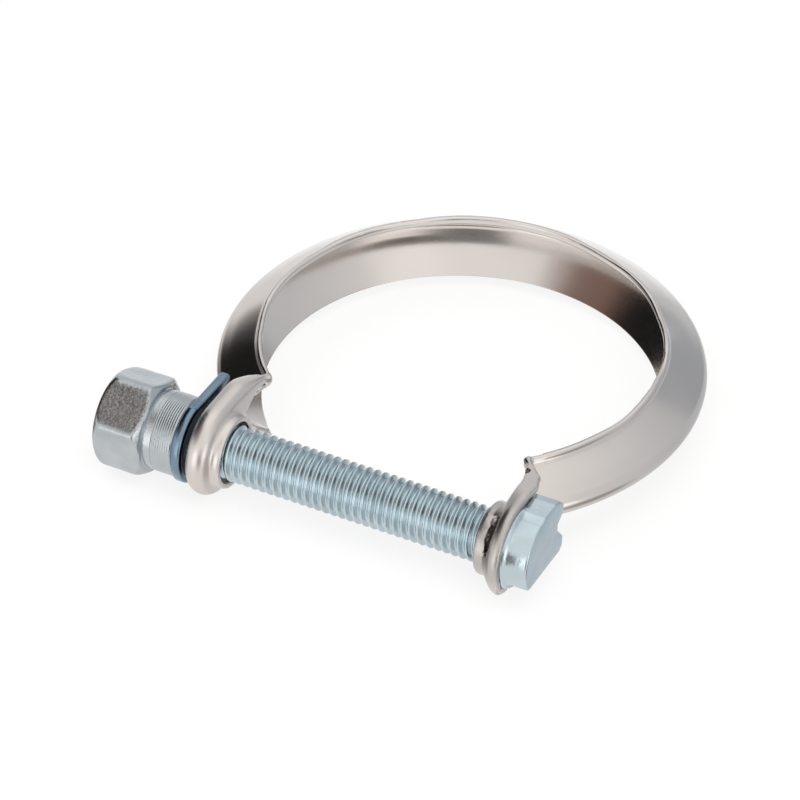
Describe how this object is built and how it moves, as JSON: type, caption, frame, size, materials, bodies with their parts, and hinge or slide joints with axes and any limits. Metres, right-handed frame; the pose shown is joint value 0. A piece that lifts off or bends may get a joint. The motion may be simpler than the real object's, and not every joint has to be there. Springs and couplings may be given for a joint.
{
  "type": "exhaust clamp",
  "caption": "V-section exhaust clamp ring with two cupped ears, drawn together by a bolt and a long collar nut over a washer plate.",
  "frame": {"origin": "centre of the ring, halfway between its two rims", "axes": "+Z along the ring's axis, +X along the bolt from the nut to the head, ears at the front on -Y"},
  "size_m": [0.0887, 0.0902, 0.0178],
  "materials": {
    "band_steel": "bright, lightly wavy pressed sheet",
    "bolt_zinc": "blue zinc plate",
    "washer_zinc": "blue zinc plate",
    "nut_zinc": "blue zinc plate, one flat speckled"
  },
  "bodies": {
    "clamp": {"band": "band_steel", "bolt": "bolt_zinc"},
    "washer": {"washer": "washer_zinc"},
    "nut": {"nut": "nut_zinc"}
  },
  "joints": [
    {"name": "washer_slide", "type": "slide", "parent": "clamp", "child": "washer", "axis": [-1, 0, 0], "range_m": [0, 0.0135]},
    {"name": "nut_turn", "type": "hinge", "parent": "washer", "child": "nut", "pos_m": [-0.042, -0.0394, 0], "axis": [-1, 0, 0], "range_deg": [0, 3240]}
  ],
  "couplings": [
    {"joint": "nut_turn", "follows": "washer_slide", "rad_per_m": 4188.8}
  ]
}
